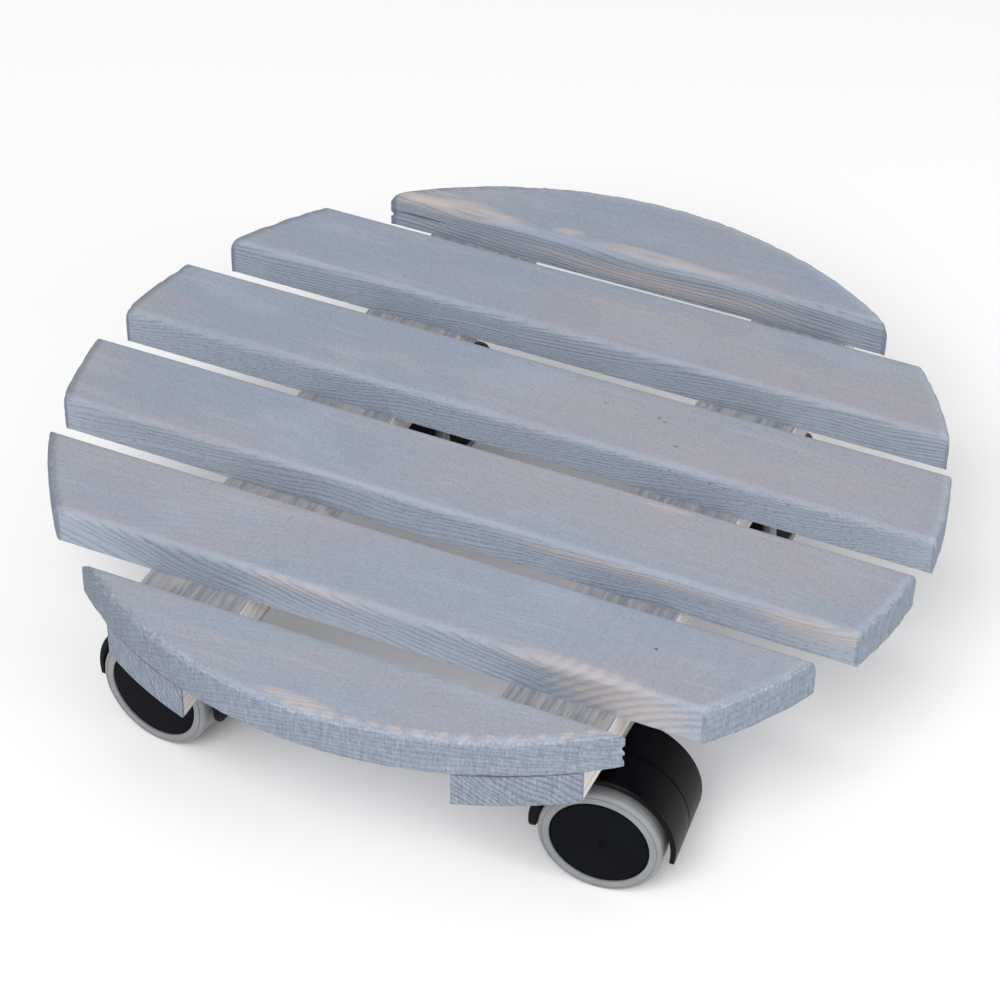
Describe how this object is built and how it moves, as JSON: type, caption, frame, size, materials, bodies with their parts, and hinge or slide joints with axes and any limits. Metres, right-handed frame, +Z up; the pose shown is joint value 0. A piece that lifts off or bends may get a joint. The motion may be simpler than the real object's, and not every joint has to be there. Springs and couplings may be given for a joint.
{
  "type": "plant pot caddy",
  "caption": "Round slatted wooden plant pot caddy: planks on two crosswise battens, rolling on hooded twin-wheel swivel castors.",
  "frame": {"origin": "on the floor under the middle of the round deck", "axes": "+Z up, planks along X, front towards -Y, battens along Y"},
  "size_m": [0.3494, 0.35, 0.0925],
  "materials": {
    "washed_pine": "rough-sawn pine with a thin blue-grey wash, bare wood showing in places",
    "washed_pine_batten": "rough-sawn pine, thinly washed, bare on its sides",
    "zinc_screw": "bright zinc plated",
    "zinc_steel": "pressed, bright zinc plated",
    "axle_steel": "drawn, bright",
    "hood_plastic": "moulded black nylon, fine matt texture",
    "wheel_core_plastic": "moulded black",
    "cap_plastic": "moulded black, satin",
    "grey_tread": "soft light grey tread, matt"
  },
  "bodies": {
    "deck": {"slat_1": "washed_pine", "slat_2": "washed_pine", "slat_3": "washed_pine", "slat_4": "washed_pine", "slat_5": "washed_pine", "slat_6": "washed_pine", "batten_left": "washed_pine_batten", "batten_right": "washed_pine_batten", "slat_screws": "zinc_screw", "plate_screws": "zinc_screw", "front_left_plate": "zinc_steel", "front_left_stem": "zinc_steel", "front_left_stem_ring": "zinc_steel", "front_right_plate": "zinc_steel", "front_right_stem": "zinc_steel", "front_right_stem_ring": "zinc_steel", "rear_left_plate": "zinc_steel", "rear_left_stem": "zinc_steel", "rear_left_stem_ring": "zinc_steel", "rear_right_plate": "zinc_steel", "rear_right_stem": "zinc_steel", "rear_right_stem_ring": "zinc_steel"},
    "front_left_castor": {"front_left_housing": "hood_plastic", "front_left_axle": "axle_steel"},
    "front_left_wheel_a": {"front_left_core_a": "wheel_core_plastic", "front_left_tyre_a": "grey_tread", "front_left_cap_a": "cap_plastic"},
    "front_left_wheel_b": {"front_left_core_b": "wheel_core_plastic", "front_left_tyre_b": "grey_tread", "front_left_cap_b": "cap_plastic"},
    "front_right_castor": {"front_right_housing": "hood_plastic", "front_right_axle": "axle_steel"},
    "front_right_wheel_a": {"front_right_core_a": "wheel_core_plastic", "front_right_tyre_a": "grey_tread", "front_right_cap_a": "cap_plastic"},
    "front_right_wheel_b": {"front_right_core_b": "wheel_core_plastic", "front_right_tyre_b": "grey_tread", "front_right_cap_b": "cap_plastic"},
    "rear_left_castor": {"rear_left_housing": "hood_plastic", "rear_left_axle": "axle_steel"},
    "rear_left_wheel_a": {"rear_left_core_a": "wheel_core_plastic", "rear_left_tyre_a": "grey_tread", "rear_left_cap_a": "cap_plastic"},
    "rear_left_wheel_b": {"rear_left_core_b": "wheel_core_plastic", "rear_left_tyre_b": "grey_tread", "rear_left_cap_b": "cap_plastic"},
    "rear_right_castor": {"rear_right_housing": "hood_plastic", "rear_right_axle": "axle_steel"},
    "rear_right_wheel_a": {"rear_right_core_a": "wheel_core_plastic", "rear_right_tyre_a": "grey_tread", "rear_right_cap_a": "cap_plastic"},
    "rear_right_wheel_b": {"rear_right_core_b": "wheel_core_plastic", "rear_right_tyre_b": "grey_tread", "rear_right_cap_b": "cap_plastic"}
  },
  "joints": [
    {"name": "front_left_swivel", "type": "hinge", "parent": "deck", "child": "front_left_castor", "pos_m": [-0.07025, -0.108, 0], "axis": [0, 0, 1], "continuous": true},
    {"name": "front_left_wheel_a_spin", "type": "hinge", "parent": "front_left_castor", "child": "front_left_wheel_a", "pos_m": [-0.08661, -0.10585, 0.024], "axis": [-0.1305, -0.9914, 0], "continuous": true},
    {"name": "front_left_wheel_b_spin", "type": "hinge", "parent": "front_left_castor", "child": "front_left_wheel_b", "pos_m": [-0.08661, -0.10585, 0.024], "axis": [-0.1305, -0.9914, 0], "continuous": true},
    {"name": "front_right_swivel", "type": "hinge", "parent": "deck", "child": "front_right_castor", "pos_m": [0.07925, -0.108, 0], "axis": [0, 0, 1], "continuous": true},
    {"name": "front_right_wheel_a_spin", "type": "hinge", "parent": "front_right_castor", "child": "front_right_wheel_a", "pos_m": [0.09567, -0.10642, 0.024], "axis": [-0.0958, 0.9954, 0], "continuous": true},
    {"name": "front_right_wheel_b_spin", "type": "hinge", "parent": "front_right_castor", "child": "front_right_wheel_b", "pos_m": [0.09567, -0.10642, 0.024], "axis": [-0.0958, 0.9954, 0], "continuous": true},
    {"name": "rear_left_swivel", "type": "hinge", "parent": "deck", "child": "rear_left_castor", "pos_m": [-0.07475, 0.108, 0], "axis": [0, 0, 1], "continuous": true},
    {"name": "rear_left_wheel_a_spin", "type": "hinge", "parent": "rear_left_castor", "child": "rear_left_wheel_a", "pos_m": [-0.07561, 0.09152, 0.024], "axis": [0.9986, -0.0523, 0], "continuous": true},
    {"name": "rear_left_wheel_b_spin", "type": "hinge", "parent": "rear_left_castor", "child": "rear_left_wheel_b", "pos_m": [-0.07561, 0.09152, 0.024], "axis": [0.9986, -0.0523, 0], "continuous": true},
    {"name": "rear_right_swivel", "type": "hinge", "parent": "deck", "child": "rear_right_castor", "pos_m": [0.07475, 0.108, 0], "axis": [0, 0, 1], "continuous": true},
    {"name": "rear_right_wheel_a_spin", "type": "hinge", "parent": "rear_right_castor", "child": "rear_right_wheel_a", "pos_m": [0.07389, 0.09152, 0.024], "axis": [0.9986, -0.0523, 0], "continuous": true},
    {"name": "rear_right_wheel_b_spin", "type": "hinge", "parent": "rear_right_castor", "child": "rear_right_wheel_b", "pos_m": [0.07389, 0.09152, 0.024], "axis": [0.9986, -0.0523, 0], "continuous": true}
  ]
}
